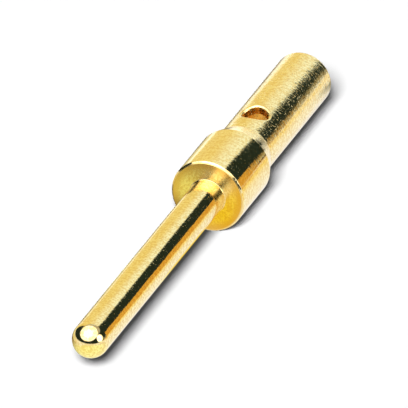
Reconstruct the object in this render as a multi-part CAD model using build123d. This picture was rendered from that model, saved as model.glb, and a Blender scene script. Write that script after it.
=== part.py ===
from build123d import *
from math import hypot, radians, tan
import os

# A turned male crimp contact: a round-nosed pin, a thick collar that seats in the
# insulator, and a hollow barrel that is crimped onto a stripped wire. It is turned
# from one bar, so it is one solid. It lies along X, with the pin's nose towards -X,
# the barrel's mouth towards +X and the inspection hole on top. The origin is the
# centre of the collar's front face. All sizes are in millimetres.

# Pin
pin_diameter = 1.6
pin_length = 14.3  # collar's front face to the tip of the nose

# Collar
collar_diameter = 3.3
collar_length = 3.15  # front face to the rear rim, where the taper starts
collar_chamfer = 0.09
taper_length = 1.1  # from the rear rim down to the barrel

# Crimp barrel
barrel_diameter = 2.55
barrel_length = 7.3  # taper's small end to the mouth
mouth_edge_radius = 0.1

# Blind bore for the wire, drilled from the mouth
bore_diameter = 1.8
bore_depth = 6.6  # mouth to the end of the full diameter
drill_point_angle = 118.0
mouth_lead_in = 0.12  # chamfer on the bore's inner edge

# Inspection hole, drilled through the top wall near the bore's end
hole_diameter = 1.1
hole_to_bore_end = 0.18  # from the hole's near side to the end of the full bore
hole_edge_radius = 0.1

# Radii, and places along X, that follow from the sizes
pin_radius = pin_diameter / 2
collar_radius = collar_diameter / 2
barrel_radius = barrel_diameter / 2
bore_radius = bore_diameter / 2
hole_radius = hole_diameter / 2

nose_tip_x = -pin_length
nose_centre_x = nose_tip_x + pin_radius
barrel_start_x = collar_length + taper_length
mouth_x = barrel_start_x + barrel_length
bore_end_x = mouth_x - bore_depth
drill_point_x = bore_end_x - bore_radius / tan(radians(drill_point_angle / 2))
hole_x = bore_end_x + hole_to_bore_end + hole_radius


def turned_and_bored():
    """The contact as it leaves the lathe: its outline and its bore, turned about X."""
    nose = CenterArc((nose_centre_x, 0), pin_radius, 90, 90)
    nose_to_mouth = Polyline(
        (nose_centre_x, pin_radius),
        (0, pin_radius),
        (0, collar_radius - collar_chamfer),
        (collar_chamfer, collar_radius),
        (collar_length, collar_radius),
        (barrel_start_x, barrel_radius),
        (mouth_x - mouth_edge_radius, barrel_radius),
    )
    mouth_edge = CenterArc(
        (mouth_x - mouth_edge_radius, barrel_radius - mouth_edge_radius),
        mouth_edge_radius,
        0,
        90,
    )
    bore_and_axis = Polyline(
        (mouth_x, barrel_radius - mouth_edge_radius),
        (mouth_x, bore_radius + mouth_lead_in),
        (mouth_x - mouth_lead_in, bore_radius),
        (bore_end_x, bore_radius),
        (drill_point_x, 0),
        (nose_tip_x, 0),
    )
    outline = Curve() + [nose, nose_to_mouth, mouth_edge, bore_and_axis]
    return revolve(make_face(outline), Axis.X)


def distance_from_axis(edge):
    """How far an edge's start lies from the contact's own axis."""
    start = edge @ 0
    return hypot(start.Y, start.Z)


def drill_inspection_hole(blank):
    """Drill the round hole down into the bore and round over its outer rim."""
    upwards = (Align.CENTER, Align.CENTER, Align.MIN)
    drill = Pos(hole_x, 0, 0) * Cylinder(hole_radius, barrel_diameter, align=upwards)
    drilled = blank - drill
    rim = max(new_edges(blank, drill, combined=drilled), key=distance_from_axis)
    return fillet(rim, hole_edge_radius)


os.makedirs("parts", exist_ok=True)
crimp_contact = drill_inspection_hole(turned_and_bored())
export_step(crimp_contact, "parts/crimp_contact.step")
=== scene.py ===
"""The looks of the gold-plated crimp contact: its finished mesh, plating, floor and light.

The contact lies along X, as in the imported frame: nose towards -X, barrel's mouth towards +X and
the inspection hole on top. Sizes in this file are in millimetres and angles are in degrees,
unless a comment says otherwise. The meshes are in metres.
"""

from math import atan2, cos, pi, radians, sin, sqrt, tan

import bmesh
import bpy
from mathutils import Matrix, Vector


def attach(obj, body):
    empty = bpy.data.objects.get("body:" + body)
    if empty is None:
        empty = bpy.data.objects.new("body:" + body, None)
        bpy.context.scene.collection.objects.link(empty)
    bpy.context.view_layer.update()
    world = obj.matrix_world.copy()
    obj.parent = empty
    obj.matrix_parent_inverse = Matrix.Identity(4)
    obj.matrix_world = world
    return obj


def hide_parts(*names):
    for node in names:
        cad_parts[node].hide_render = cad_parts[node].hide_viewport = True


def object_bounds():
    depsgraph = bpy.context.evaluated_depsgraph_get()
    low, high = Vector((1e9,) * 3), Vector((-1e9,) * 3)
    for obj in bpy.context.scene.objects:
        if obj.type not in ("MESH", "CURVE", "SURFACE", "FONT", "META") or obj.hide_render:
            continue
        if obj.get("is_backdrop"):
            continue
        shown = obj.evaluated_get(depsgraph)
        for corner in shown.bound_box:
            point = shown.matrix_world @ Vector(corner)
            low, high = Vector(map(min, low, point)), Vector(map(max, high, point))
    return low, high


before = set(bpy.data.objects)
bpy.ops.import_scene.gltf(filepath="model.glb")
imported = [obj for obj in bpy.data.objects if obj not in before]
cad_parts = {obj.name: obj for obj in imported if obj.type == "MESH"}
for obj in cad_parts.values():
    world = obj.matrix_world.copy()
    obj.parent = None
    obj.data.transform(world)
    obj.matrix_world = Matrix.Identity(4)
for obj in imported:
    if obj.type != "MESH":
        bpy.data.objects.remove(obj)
cad_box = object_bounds()

MM = 0.001  # metres

# The contact's sizes, as in the frame
PIN_RADIUS = 0.8
PIN_LENGTH = 14.3
COLLAR_RADIUS = 1.65
COLLAR_LENGTH = 3.15
COLLAR_CHAMFER = 0.09
TAPER_LENGTH = 1.1
BARREL_RADIUS = 1.275
BARREL_LENGTH = 7.3
MOUTH_EDGE_RADIUS = 0.1
BORE_RADIUS = 0.9
BORE_DEPTH = 6.6
DRILL_POINT_ANGLE = 118.0
MOUTH_LEAD_IN = 0.12
HOLE_RADIUS = 0.55
HOLE_TO_BORE_END = 0.18
HOLE_EDGE_RADIUS = 0.1

# Small edge roundings that the frame's solid leaves out
PIN_ROOT_RADIUS = 0.03
COLLAR_FACE_RADIUS = 0.025
COLLAR_REAR_RADIUS = 0.08
TAPER_FOOT_RADIUS = 0.12
LEAD_IN_RADIUS = 0.02

# Places along X
NOSE_CENTRE_X = PIN_RADIUS - PIN_LENGTH
BARREL_START_X = COLLAR_LENGTH + TAPER_LENGTH
MOUTH_X = BARREL_START_X + BARREL_LENGTH
BORE_END_X = MOUTH_X - BORE_DEPTH
DRILL_POINT_X = BORE_END_X - BORE_RADIUS / tan(radians(DRILL_POINT_ANGLE / 2))
HOLE_X = BORE_END_X + HOLE_TO_BORE_END + HOLE_RADIUS

# The finished mesh. Its turned surfaces are rings of points, and a square window of each
# ring set around the inspection hole is filled by a patch that follows the hole's rim.
SEGMENTS = 256  # points in a full ring
WINDOW_HALF = 30  # segments from the window's middle to its side
PATCH_POINTS = 8 * WINDOW_HALF  # points around the window, and around the hole
BARREL_WINDOW = 0.85  # from the hole's axis to the window's front and back sides
BORE_WINDOW = 0.7
PATCH_ROWS = 14
RIM_ROWS = 7
WALL_ROWS = 8
NOSE_ROWS = 40
CORNER_ROWS = 6
DRILL_ROWS = 12
FIRST_CORNER = 225  # the window's corner towards -X and -Y, as an angle round the hole
SAME_RADIUS = 1e-6
SHARP_ANGLE = 28
JOIN_DISTANCE = 1e-8  # metres

# Plating
GOLD_BRIGHT = (1.0, 0.84, 0.44, 1)
GOLD_DEEP = (0.9, 0.66, 0.26, 1)
# painted shade: the face's rim is painted a deeper gold
FACE_RIM_PAINTED_SHADE = (0.86, 0.58, 0.2, 1)
# painted bounce light: the bore is painted a warmer orange gold
BORE_PAINTED_BOUNCE = (1.0, 0.68, 0.24, 1)
RING_STRETCH = (9, 1.6, 1.6)  # a noise that is finer along X forms rings round the axis
NOISES = {  # scale per millimetre, detail, roughness
    "rings": (1.0, 3.0, 0.6),
    "mottle": (5.0, 3.0, 0.55),
    "wobble": (1.3, 2.0, 0.5),
    "grain": (9.0, 2.0, 0.6),
    "pits": (13.0, 1.0, 0.5),
}
TONE_RINGS = 0.5  # the rings' share in the colour, beside the grain
TONE_RANGE = (0.62, 0.88)  # from the deep gold to the bright one
FACE_RIM_SHADE_RADII = (1.15, 1.5)  # radii between which the face turns deeper, a painted shade
PIN_ROUGHNESS = 0.05
BARREL_ROUGHNESS = 0.1
ADDED_ROUGHNESS = {"mottle": 0.05, "on_face": 0.16, "in_bore": 0.15}
RELIEF = {"rings": 0.6, "wobble": 1.0, "mottle": 0.6, "grain": 0.25}  # each noise's share
RELIEF_HEIGHT = 0.02  # of the whole relief, before the shares below
PIT_RANGE = (0.66, 0.76)  # from a pit's rim to its floor
PIT_DEPTH = -0.5
PIN_RELIEF = 0.25  # the relief's share on each surface
BARREL_RELIEF = 0.8
FACE_RELIEF = 0.15
NOSE_RELIEF = 0.25
NOSE_POLISH = (-0.1, 0.3)  # from the nose's centre

# How the plating's zones start and end
FACE_DEPTH = (0.015, 0.05)  # from the plane of the collar's front face
FACE_START = 0.06  # from the pin's surface outwards
BORE_WALL = (-0.12, -0.05)  # from the barrel's surface inwards
BORE_START = 0.1
MOUTH_FADE = 0.2
NO_MATT_BOUNCE = 0.5  # a ray's count of bounces off matt surfaces is below this until the first

# The warm card that stands beside the contact, on the camera's right: a glowing sheet that only
# the metal sees, a painted orange reflection
CARD_COLOUR = (0.74, 0.42, 0.08, 1)
CARD_FROM_AXIS = 30
CARD_START_X = 18
CARD_END_X = 43
CARD_TOP = 10

# Studio: its dark colour, and what lies over it, as start, end and softness, or for a round
# lamp as heading, height, angular radius and softness. Headings turn right from the camera's
# view. The wall ahead makes the broad bright band on the pin, the collar and the barrel.
FILL_LIGHT = (0.06, 0.06, 0.06, 1)
BACKGROUND = (1, 1, 1, 1)
STUDIO_DARK = (0.02, 0.032, 0.03, 1)
STUDIO_DIM = (0.5, 0.5, 0.5, 1)
DIM_HEIGHT = (42, 100, 3)  # the dim part overhead
WALL_WARM = (0.9, 0.79, 0.38, 1)
WALL_COOL = (0.97, 1.05, 1.05, 1)
WALL_HEADING = (-35, 38, 2)  # the wall ahead
WALL_HEIGHT = (-2, 48, 3)
WALL_TONE = (-8, 29)  # headings between which the wall turns from warm to cool
STUDIO_LOW = (0.5, 0.45, 0.3, 1)
LOW_HEADING = (42, 100, 4)  # the tan part low on the right
LOW_HEIGHT = (-9, 4, 4)
ROUND_LAMPS = (
    ((-150, 65, 51, 2), (1.7, 1.7, 1.7, 1)),  # softbox, high behind the camera
    ((-150, 60, 24, 10), (3.6, 3.6, 3.6, 1)),  # its bright middle
    ((118, 20, 19, 4), (3.0, 3.0, 3.0, 1)),  # small lamp on the right
)
KEY_STRENGTH = 5.65
KEY_ANGLE = 17  # how wide the lamp looks, which softens the shadow
KEY_HEADING = 187.5
KEY_ELEVATION = 37

# Floor: its paper, and painted reflections: colours that only the metal reflects, with painted
# shadow and painted bounce light beside the contact among them. Each patch lies over the ones
# before it, and has a start, an end and an edge softness along X and along Y. Left and right are
# the camera's, and a patch's comment says what it makes on the contact.
FLOOR_HALF = 1000
FLOOR_COLOUR = (0.9, 0.9, 0.9, 1)
FLOOR_SEEN = (1.0, 1.02, 1.05, 1)
FLOOR_PAINTED_REFLECTIONS = (
    ((-16, 18, 3), (1, 60, 2), (0.85, 0.8, 0.5, 1)),  # painted reflection: dimmer left edges
    ((-14, 18, 3), (0.9, 6, 0.7), (0.3, 0.24, 0.13, 1)),  # painted shadow of the contact: dark line on the left edges
    ((-5.5, -2, 1), (-0.8, 4, 0.8), (0.92, 0.9, 0.32, 1)),  # painted reflection: pale left part of the face
    ((-7, 24, 4), (-24, -6, 3), (1.0, 0.86, 0.4, 1)),  # painted reflection: yellow on the right flanks
    ((5, 22, 3), (-200, -13, 2), CARD_COLOUR),  # painted reflection: faint orange line, pin and collar
    ((-4.5, 0, 1), (-1.1, 0.8, 0.5), (0.95, 0.72, 0.05, 1)),  # painted gold bounce light under the pin: deep right part of the face
    ((-24, -13, 3), (-8, 3, 2), (1.03, 1.1, 0.68, 1)),  # painted reflection: yellow under the nose
    ((22, 900, 4), (0, 900, 4), (1.35, 1.35, 1.25, 1)),  # painted reflection: brighter left edges at the back
    ((5, 43, 2), (-200, -22, 3), CARD_COLOUR),  # painted reflection: the floor round the card's foot
    ((45, 300, 3), (-300, -21, 3), STUDIO_DARK),  # painted dark reflection: the dark stripe's lower edge
    ((14, 30, 1.5), (-2.6, -0.9, 0.4), STUDIO_DARK),  # painted shade beside the barrel: dark notch in the taper, dark far end
    ((26, 300, 2), (-7, -0.3, 0.8), STUDIO_DARK),  # painted shade beside the barrel: the notch's upper part
)

# Camera: the photograph's, looking past the nose along the contact
CAMERA_HEADING = 21.14  # from +X towards +Y
CAMERA_ELEVATION = 28.28
CAMERA_DISTANCE = 700.0
CAMERA_LENS = 1453.0
VIEW_RIGHT = 0.139  # how far the collar's front face lies from the image's middle
VIEW_UP = 0.31
CLIP_START = 10
CLIP_END = 10000


def rounding(before, at, after, radius):
    """The points of a small rounding at a corner of the turned outline."""
    back = Vector(before) - Vector(at)
    ahead = Vector(after) - Vector(at)
    back.normalize()
    ahead.normalize()
    half = back.angle(ahead) / 2
    reach = radius / tan(half)
    start = Vector(at) + back * reach
    end = Vector(at) + ahead * reach
    middle = Vector(at) + (back + ahead).normalized() * (radius / sin(half))
    points = []
    for i in range(CORNER_ROWS + 1):
        share = i / CORNER_ROWS
        spoke = (start - middle).normalized().slerp((end - middle).normalized(), share)
        points.append(tuple(middle + spoke * radius))
    return points


def evenly(start, end, count):
    """Points from start to end, both included, along a straight run."""
    return [tuple(Vector(start).lerp(Vector(end), i / count)) for i in range(count + 1)]


def outer_outline():
    """(x, radius) points from beside the nose's tip to the barrel's mouth."""
    points = []
    for i in range(1, NOSE_ROWS + 1):
        angle = pi / 2 * i / NOSE_ROWS
        points.append((NOSE_CENTRE_X - PIN_RADIUS * cos(angle), PIN_RADIUS * sin(angle)))
    turned = [
        ((NOSE_CENTRE_X, PIN_RADIUS), 0),
        ((0, PIN_RADIUS), PIN_ROOT_RADIUS),
        ((0, COLLAR_RADIUS - COLLAR_CHAMFER), COLLAR_FACE_RADIUS),
        ((COLLAR_CHAMFER, COLLAR_RADIUS), COLLAR_FACE_RADIUS),
        ((COLLAR_LENGTH, COLLAR_RADIUS), COLLAR_REAR_RADIUS),
        ((BARREL_START_X, BARREL_RADIUS), TAPER_FOOT_RADIUS),
        ((MOUTH_X, BARREL_RADIUS), MOUTH_EDGE_RADIUS),
        ((MOUTH_X, BORE_RADIUS + MOUTH_LEAD_IN), LEAD_IN_RADIUS),
        ((MOUTH_X - MOUTH_LEAD_IN, BORE_RADIUS), LEAD_IN_RADIUS),
        ((BORE_END_X, BORE_RADIUS), 0),
    ]
    for i in range(1, len(turned) - 1):
        at, radius = turned[i]
        rounded = rounding(turned[i - 1][0], at, turned[i + 1][0], radius)
        if at == (MOUTH_X, BARREL_RADIUS):
            points += evenly(
                (HOLE_X - BARREL_WINDOW, BARREL_RADIUS),
                (HOLE_X + BARREL_WINDOW, BARREL_RADIUS),
                2 * WINDOW_HALF,
            )
        points += rounded
    points += evenly(
        (HOLE_X + BORE_WINDOW, BORE_RADIUS),
        (HOLE_X - BORE_WINDOW, BORE_RADIUS),
        2 * WINDOW_HALF,
    )
    points.append((BORE_END_X, BORE_RADIUS))
    points += evenly((BORE_END_X, BORE_RADIUS), (DRILL_POINT_X, 0), DRILL_ROWS)[1:-1]
    return points


def on_cylinder(x, radius, angle):
    """A point at an angle from straight up, round the contact's axis."""
    return (x, radius * sin(angle), radius * cos(angle))


def window_loop(reach):
    """(x, angle) of the points around a window, from its corner towards -X and -Y."""
    side = 2 * pi / SEGMENTS * WINDOW_HALF
    corners = [
        (HOLE_X - reach, -side),
        (HOLE_X - reach, side),
        (HOLE_X + reach, side),
        (HOLE_X + reach, -side),
    ]
    loop = []
    for i in range(4):
        loop += evenly(corners[i], corners[(i + 1) % 4], 2 * WINDOW_HALF)[:-1]
    return loop


def hole_rows():
    """Rows of points from the barrel's window, over the hole's rim and down into the bore.

    The rim is rounded by a ball that rolls round inside the edge and touches both surfaces.
    """
    rim_reach = HOLE_RADIUS + HOLE_EDGE_RADIUS
    ball_orbit = BARREL_RADIUS - HOLE_EDGE_RADIUS
    rows = [[] for _ in range(2 * PATCH_ROWS + RIM_ROWS + WALL_ROWS + 1)]
    barrel_loop = window_loop(BARREL_WINDOW)
    bore_loop = window_loop(BORE_WINDOW)
    for k in range(PATCH_POINTS):
        turn = radians(FIRST_CORNER) - 2 * pi * k / PATCH_POINTS
        across = rim_reach * sin(turn)
        ball = Vector((HOLE_X + rim_reach * cos(turn), across, sqrt(ball_orbit**2 - across**2)))
        outward = Vector((0, ball.y, ball.z)).normalized()
        inward = Vector((-cos(turn), -sin(turn), 0))
        column = []
        rim_angle = atan2(ball.y, ball.z)
        for i in range(PATCH_ROWS):
            share = i / PATCH_ROWS
            x = barrel_loop[k][0] + (ball.x - barrel_loop[k][0]) * share
            angle = barrel_loop[k][1] + (rim_angle - barrel_loop[k][1]) * share
            column.append(on_cylinder(x, BARREL_RADIUS, angle))
        for i in range(RIM_ROWS + 1):
            spoke = outward.slerp(inward, i / RIM_ROWS)
            column.append(tuple(ball + spoke * HOLE_EDGE_RADIUS))
        side = HOLE_RADIUS * sin(turn)
        foot = Vector((HOLE_X + HOLE_RADIUS * cos(turn), side, sqrt(BORE_RADIUS**2 - side**2)))
        top = ball + inward * HOLE_EDGE_RADIUS
        for i in range(1, WALL_ROWS + 1):
            column.append(tuple(top.lerp(foot, i / WALL_ROWS)))
        foot_angle = atan2(foot.y, foot.z)
        for i in range(1, PATCH_ROWS + 1):
            share = i / PATCH_ROWS
            x = foot.x + (bore_loop[k][0] - foot.x) * share
            angle = foot_angle + (bore_loop[k][1] - foot_angle) * share
            column.append(on_cylinder(x, BORE_RADIUS, angle))
        for row, point in zip(rows, column):
            row.append(point)
    return rows


def in_window(near, far):
    """Whether the strip between two outline points crosses a hole window."""
    middle = (near[0] + far[0]) / 2
    for radius, reach in ((BARREL_RADIUS, BARREL_WINDOW), (BORE_RADIUS, BORE_WINDOW)):
        flat = max(abs(near[1] - radius), abs(far[1] - radius)) < SAME_RADIUS
        if flat and abs(middle - HOLE_X) < reach:
            return True
    return False


def build_contact():
    """The whole contact as one closed mesh."""
    outline = outer_outline()
    points = []
    faces = []
    for x, radius in outline:
        points += [on_cylinder(x, radius, 2 * pi * j / SEGMENTS) for j in range(SEGMENTS)]
    window = set(range(WINDOW_HALF)) | set(range(SEGMENTS - WINDOW_HALF, SEGMENTS))
    for i in range(len(outline) - 1):
        open_columns = window if in_window(outline[i], outline[i + 1]) else set()
        for j in range(SEGMENTS):
            if j in open_columns:
                continue
            a = i * SEGMENTS + j
            b = i * SEGMENTS + (j + 1) % SEGMENTS
            faces.append((a, b, b + SEGMENTS, a + SEGMENTS))
    for tip, ring in (((-PIN_LENGTH, 0, 0), 0), ((DRILL_POINT_X, 0, 0), len(outline) - 1)):
        points.append(tip)
        for j in range(SEGMENTS):
            a = ring * SEGMENTS + j
            b = ring * SEGMENTS + (j + 1) % SEGMENTS
            faces.append((a, b, len(points) - 1))
    rows = hole_rows()
    start = len(points)
    for row in rows:
        points += row
    for i in range(len(rows) - 1):
        for k in range(PATCH_POINTS):
            a = start + i * PATCH_POINTS + k
            b = start + i * PATCH_POINTS + (k + 1) % PATCH_POINTS
            faces.append((a, b, b + PATCH_POINTS, a + PATCH_POINTS))
    mesh = bpy.data.meshes.new("contact_finish")
    mesh.from_pydata([tuple(c * MM for c in p) for p in points], [], faces)
    return mesh


def finish_mesh(mesh):
    """Join the seams, turn every face outwards and keep only the real edges sharp."""
    work = bmesh.new()
    work.from_mesh(mesh)
    bmesh.ops.remove_doubles(work, verts=work.verts, dist=JOIN_DISTANCE)
    bmesh.ops.recalc_face_normals(work, faces=work.faces)
    work.to_mesh(mesh)
    work.free()
    mesh.shade_smooth()
    mesh.set_sharp_from_angle(angle=radians(SHARP_ANGLE))


def link(obj):
    """Put an object into the scene."""
    bpy.context.scene.collection.objects.link(obj)
    return obj


class Nodes:
    """A node tree with short calls for the nodes that this scene uses."""

    def __init__(self, owner):
        owner.use_nodes = True
        self.tree = owner.node_tree
        self.tree.nodes.clear()

    def add(self, kind, inputs=None, **settings):
        """A node with its settings, and its inputs set to values or linked to sockets."""
        node = self.tree.nodes.new(kind)
        for name, value in settings.items():
            setattr(node, name, value)
        for name, value in (inputs or {}).items():
            self.feed(node.inputs[name], value)
        return node

    def feed(self, socket, value):
        """Set an input to a value, or link it to another node's output."""
        if isinstance(value, bpy.types.NodeSocket):
            self.tree.links.new(value, socket)
        else:
            socket.default_value = value

    def math(self, operation, *values):
        """The result of one Math node."""
        node = self.add("ShaderNodeMath", dict(enumerate(values)), operation=operation)
        return node.outputs[0]

    def product(self, *values):
        """Several values multiplied together."""
        result = values[0]
        for value in values[1:]:
            result = self.math("MULTIPLY", result, value)
        return result

    def vector(self, operation, *values, output="Vector"):
        """The result of one Vector Math node."""
        node = self.add("ShaderNodeVectorMath", dict(enumerate(values)), operation=operation)
        return node.outputs[output]

    def ramp(self, value, start, end, low=0.0, high=1.0):
        """low below start, high above end, and a smooth step between them."""
        node = self.add(
            "ShaderNodeMapRange",
            {"Value": value, "From Min": start, "From Max": end, "To Min": low, "To Max": high},
            interpolation_type="SMOOTHSTEP",
        )
        return node.outputs[0]

    def band(self, value, start, end, soft):
        """1 between start and end, and 0 beyond them, with soft edges."""
        rise = self.ramp(value, start - soft, start + soft)
        fall = self.ramp(value, end - soft, end + soft, 1, 0)
        return self.math("MULTIPLY", rise, fall)

    def mix(self, share, low, high):
        """A colour between two colours."""
        inputs = {0: share, 6: low, 7: high}
        return self.add("ShaderNodeMix", inputs, data_type="RGBA").outputs[2]

    def mix_shaders(self, share, low, high):
        """A shader between two shaders."""
        return self.add("ShaderNodeMixShader", {0: share, 1: low, 2: high}).outputs[0]

    def noise(self, vector, scale, detail, roughness):
        """The value of a noise texture, about 0.5 on average."""
        node = self.add(
            "ShaderNodeTexNoise",
            {"Vector": vector, "Scale": scale, "Detail": detail, "Roughness": roughness},
        )
        return node.outputs["Fac"]


def plating_zones(nodes, in_mm):
    """Places on the contact: its x, its distance from the axis, and masks of its surfaces."""
    along = nodes.add("ShaderNodeSeparateXYZ", {0: in_mm}).outputs["X"]
    spoke = nodes.vector("MULTIPLY", in_mm, (0, 1, 1))
    from_axis = nodes.vector("LENGTH", spoke, output="Value")
    from_face = nodes.math("ABSOLUTE", along)
    return {
        "along": along,
        "from_axis": from_axis,
        "on_barrel": nodes.ramp(along, COLLAR_LENGTH, BARREL_START_X),
        "on_face": nodes.product(
            nodes.ramp(from_face, *FACE_DEPTH, 1, 0),
            nodes.ramp(from_axis, PIN_RADIUS, PIN_RADIUS + FACE_START),
        ),
        "in_bore": nodes.product(
            nodes.ramp(from_axis, *(BARREL_RADIUS + step for step in BORE_WALL), 1, 0),
            nodes.ramp(along, BARREL_START_X, BARREL_START_X + BORE_START),
            nodes.ramp(along, MOUTH_X - MOUTH_FADE, MOUTH_X, 1, 0),
        ),
    }


def plating_colour(nodes, noise, zone):
    """Gold that varies with the marks, with painted shade deeper at the face's rim and painted
    bounce light warm in the bore.
    """
    marks = nodes.math("ADD", nodes.product(noise["rings"], TONE_RINGS), noise["grain"])
    colour = nodes.mix(nodes.ramp(marks, *TONE_RANGE), GOLD_DEEP, GOLD_BRIGHT)
    # painted shade: the face turns deeper gold towards its rim
    face_rim_shade = nodes.product(zone["on_face"], nodes.ramp(zone["from_axis"], *FACE_RIM_SHADE_RADII))
    colour = nodes.mix(face_rim_shade, colour, FACE_RIM_PAINTED_SHADE)
    # painted bounce light: the bore turns a warmer orange gold
    return nodes.mix(zone["in_bore"], colour, BORE_PAINTED_BOUNCE)


def plating_roughness(nodes, noise, zone):
    """Polished on the pin, and duller on the barrel, the face and in the bore."""
    rough = nodes.ramp(zone["on_barrel"], 0, 1, PIN_ROUGHNESS, BARREL_ROUGHNESS)
    for name, added in ADDED_ROUGHNESS.items():
        mask = noise[name] if name in noise else zone[name]
        rough = nodes.math("ADD", rough, nodes.ramp(mask, 0, 1, 0, added))
    return rough


def plating_bump(nodes, noise, zone):
    """Turning rings, waves and pits, strongest on the barrel and polished off the nose."""
    relief = nodes.ramp(noise["pits"], *PIT_RANGE, 0, PIT_DEPTH)
    for name, height in RELIEF.items():
        relief = nodes.math("ADD", relief, nodes.product(noise[name], height))
    polish_start, polish_end = (NOSE_CENTRE_X + step for step in NOSE_POLISH)
    height = nodes.product(
        relief,
        nodes.ramp(zone["on_barrel"], 0, 1, PIN_RELIEF, BARREL_RELIEF),
        nodes.ramp(zone["on_face"], 0, 1, 1, FACE_RELIEF),
        nodes.ramp(zone["along"], polish_start, polish_end, NOSE_RELIEF, 1),
    )
    settings = {"Height": height, "Strength": 1.0, "Distance": RELIEF_HEIGHT * MM}
    return nodes.add("ShaderNodeBump", settings).outputs[0]


def gold_plate():
    """Bright plating with faint turning marks, rougher on the barrel than on the pin."""
    material = bpy.data.materials.new("gold_plate_finish")
    nodes = Nodes(material)
    place = nodes.add("ShaderNodeTexCoord").outputs["Object"]
    in_mm = nodes.vector("MULTIPLY", place, (1 / MM,) * 3)
    ringed = nodes.vector("MULTIPLY", in_mm, RING_STRETCH)
    noise = {
        name: nodes.noise(ringed if name == "rings" else in_mm, *settings)
        for name, settings in NOISES.items()
    }
    zone = plating_zones(nodes, in_mm)
    shader = nodes.add(
        "ShaderNodeBsdfPrincipled",
        {
            "Base Color": plating_colour(nodes, noise, zone),
            "Metallic": 1.0,
            "Roughness": plating_roughness(nodes, noise, zone),
            "Normal": plating_bump(nodes, noise, zone),
        },
    )
    nodes.add("ShaderNodeOutputMaterial", {"Surface": shader.outputs[0]})
    return material


def seen_in_metal(nodes):
    """1 for what the camera sees reflected in the metal, and 0 for all other light."""
    path = nodes.add("ShaderNodeLightPath").outputs
    straight = nodes.math("LESS_THAN", path["Diffuse Depth"], NO_MATT_BOUNCE)
    return nodes.math("MULTIPLY", path["Is Glossy Ray"], straight)


def sheet(name, corners, material):
    """A flat piece of the stage with its corners in millimetres."""
    mesh = bpy.data.meshes.new(name)
    mesh.from_pydata([tuple(c * MM for c in p) for p in corners], [], [(0, 1, 2, 3)])
    mesh.materials.append(material)
    piece = link(bpy.data.objects.new(name, mesh))
    piece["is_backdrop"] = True
    return piece


def build_card():
    """The warm card, a glowing sheet that only the metal sees, which paints narrow orange
    reflections in the metal.
    """
    material = bpy.data.materials.new("warm_card")
    nodes = Nodes(material)
    glow = nodes.add("ShaderNodeEmission", {"Color": CARD_COLOUR}).outputs[0]
    nodes.add("ShaderNodeOutputMaterial", {"Surface": glow})
    side = -CARD_FROM_AXIS
    corners = [
        (CARD_START_X, side, -COLLAR_RADIUS),
        (CARD_END_X, side, -COLLAR_RADIUS),
        (CARD_END_X, side, CARD_TOP),
        (CARD_START_X, side, CARD_TOP),
    ]
    card = sheet("warm_card", corners, material)
    card.visible_camera = False
    card.visible_diffuse = False
    card.visible_shadow = False


def painted_floor_reflections(nodes):
    """The floor's colours as the metal reflects them: plain white under painted reflections,
    painted shadow among them.
    """
    place = nodes.add("ShaderNodeTexCoord").outputs["Object"]
    in_mm = nodes.vector("MULTIPLY", place, (1 / MM,) * 3)
    split = nodes.add("ShaderNodeSeparateXYZ", {0: in_mm}).outputs
    seen = FLOOR_SEEN
    # each patch is a painted reflection, some of them painted shadow or bounce light
    for along, across, colour in FLOOR_PAINTED_REFLECTIONS:
        patch = nodes.product(nodes.band(split["X"], *along), nodes.band(split["Y"], *across))
        seen = nodes.mix(patch, seen, colour)
    return seen


def build_floor():
    """The white floor that the contact lies on, which is clear from below."""
    material = bpy.data.materials.new("white_floor")
    nodes = Nodes(material)
    paper = nodes.add("ShaderNodeBsdfDiffuse", {"Color": FLOOR_COLOUR}).outputs[0]
    # painted reflections: an emission that only the metal sees
    painted_reflection = nodes.add("ShaderNodeEmission", {"Color": painted_floor_reflections(nodes)}).outputs[0]
    shader = nodes.mix_shaders(seen_in_metal(nodes), paper, painted_reflection)
    underside = nodes.add("ShaderNodeNewGeometry").outputs["Backfacing"]
    clear = nodes.add("ShaderNodeBsdfTransparent").outputs[0]
    shader = nodes.mix_shaders(underside, shader, clear)
    nodes.add("ShaderNodeOutputMaterial", {"Surface": shader})
    half = FLOOR_HALF
    corners = [(-half, -half), (half, -half), (half, half), (-half, half)]
    sheet("floor", [corner + (-COLLAR_RADIUS,) for corner in corners], material)


def studio_colour(nodes):
    """The room that the metal reflects: dark, with a bright wall ahead and round lamps."""
    ray = nodes.add("ShaderNodeTexCoord").outputs["Generated"]

    def along(direction):
        return nodes.vector("DOT_PRODUCT", ray, tuple(direction), output="Value")

    def band(angle, limits):
        return nodes.band(angle, *(radians(limit) for limit in limits))

    ahead, aside, _ = camera_axes(0)
    heading = nodes.math("ARCTAN2", along(aside), along(ahead))
    height = nodes.math("ARCSINE", along((0, 0, 1)))

    def disc(turn, rise, reach, soft):
        """1 within a round lamp."""
        turn, rise = radians(turn), radians(rise)
        flat = ahead * cos(turn) + aside * sin(turn)
        middle = flat * cos(rise) + Vector((0, 0, sin(rise)))
        away = nodes.math("ARCCOSINE", along(middle))
        return nodes.ramp(away, radians(reach - soft), radians(reach + soft), 1, 0)

    colour = nodes.mix(band(height, DIM_HEIGHT), STUDIO_DARK, STUDIO_DIM)
    wall = nodes.product(band(heading, WALL_HEADING), band(height, WALL_HEIGHT))
    tone = nodes.ramp(heading, *(radians(turn) for turn in WALL_TONE))
    colour = nodes.mix(wall, colour, nodes.mix(tone, WALL_WARM, WALL_COOL))
    low = nodes.product(band(heading, LOW_HEADING), band(height, LOW_HEIGHT))
    colour = nodes.mix(low, colour, STUDIO_LOW)
    for place, glow in ROUND_LAMPS:
        colour = nodes.mix(disc(*place), colour, glow)
    return colour


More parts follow.
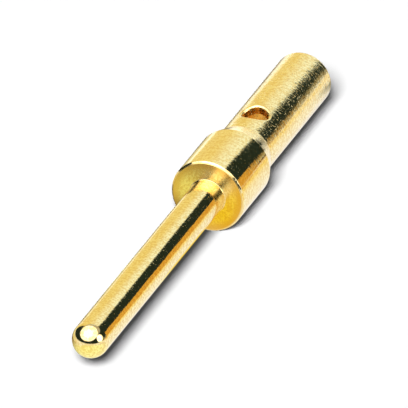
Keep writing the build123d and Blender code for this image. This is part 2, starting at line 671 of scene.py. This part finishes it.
def build_studio():
    """The room: its colours in the metal, a weak fill, and a white background."""
    world = bpy.data.worlds.new("studio")
    bpy.context.scene.world = world
    nodes = Nodes(world)
    fill = nodes.add("ShaderNodeBackground", {"Color": FILL_LIGHT}).outputs[0]
    room = nodes.add("ShaderNodeBackground", {"Color": studio_colour(nodes)}).outputs[0]
    white = nodes.add("ShaderNodeBackground", {"Color": BACKGROUND}).outputs[0]
    shader = nodes.mix_shaders(seen_in_metal(nodes), fill, room)
    direct = nodes.add("ShaderNodeLightPath").outputs["Is Camera Ray"]
    shader = nodes.mix_shaders(direct, shader, white)
    nodes.add("ShaderNodeOutputWorld", {"Surface": shader})


def key_lamp():
    """The soft lamp above the camera, which lays the shadow close beside the contact."""
    lamp = bpy.data.lights.new("key_lamp", "SUN")
    lamp.energy = KEY_STRENGTH
    lamp.angle = radians(KEY_ANGLE)
    key = link(bpy.data.objects.new("key_lamp", lamp))
    turn, rise = radians(CAMERA_HEADING - KEY_HEADING), radians(KEY_ELEVATION)
    towards = Vector((cos(turn) * cos(rise), sin(turn) * cos(rise), sin(rise)))
    key.rotation_euler = towards.to_track_quat("Z", "Y").to_euler()
    key.visible_glossy = False


def camera_axes(downwards):
    """The camera's forward, right and up directions, looking down by an angle in degrees."""
    turn, tilt = radians(CAMERA_HEADING), radians(downwards)
    forward = Vector((cos(turn) * cos(tilt), sin(turn) * cos(tilt), -sin(tilt)))
    right = Vector((sin(turn), -cos(turn), 0))
    return forward, right, right.cross(forward)


def place_camera():
    """The photograph's view, from beyond the nose and above."""
    forward, right, up = camera_axes(CAMERA_ELEVATION)
    eye = -forward * CAMERA_DISTANCE - right * VIEW_RIGHT - up * VIEW_UP
    data = bpy.data.cameras.new("camera")
    data.lens = CAMERA_LENS
    data.clip_start = CLIP_START * MM
    data.clip_end = CLIP_END * MM
    camera = link(bpy.data.objects.new("camera", data))
    camera.location = eye * MM
    camera.rotation_euler = forward.to_track_quat("-Z", "Y").to_euler()
    bpy.context.scene.camera = camera


bpy.context.scene.view_settings.view_transform = "Standard"

contact_mesh = build_contact()
finish_mesh(contact_mesh)
contact_mesh.materials.append(gold_plate())
contact = link(bpy.data.objects.new("contact", contact_mesh))
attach(contact, "root")
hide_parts("crimp_contact")
contact.visible_diffuse = False  # its shadow on the floor stays neutral

build_floor()
build_card()
build_studio()
key_lamp()
place_camera()

boxes = {"cad": cad_box, "visual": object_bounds()}
boxes = {name: [list(corner) for corner in box] for name, box in boxes.items()}
